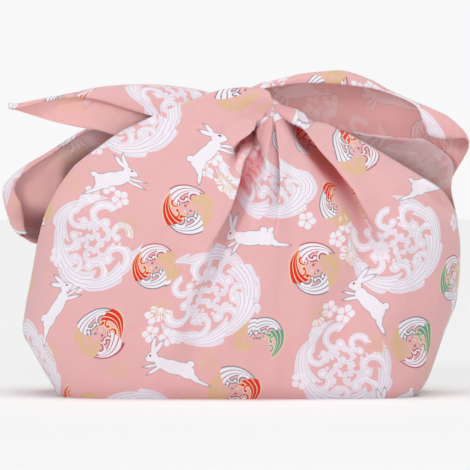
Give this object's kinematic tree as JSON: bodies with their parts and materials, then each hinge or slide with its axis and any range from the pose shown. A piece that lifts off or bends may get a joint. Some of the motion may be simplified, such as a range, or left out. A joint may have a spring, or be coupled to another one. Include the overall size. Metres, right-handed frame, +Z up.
{
  "type": "furoshiki wrap",
  "caption": "Printed cotton wrapping cloth tied at the top over a flat base, with pleats fanning down from the knot, free ends to each side and openings beside it.",
  "frame": {"origin": "on the flat base's plane, under the middle of the bounding box", "axes": "+Z up through the knot, +X to the right as the picture shows it (the long way of the base), -Y towards the viewer of the picture"},
  "size_m": [0.2344, 0.116, 0.1619],
  "materials": {
    "printed_cotton": "plain-woven printed cotton, matt"
  },
  "bodies": {
    "root": {"furoshiki_cloth": "printed_cotton"}
  },
  "joints": []
}
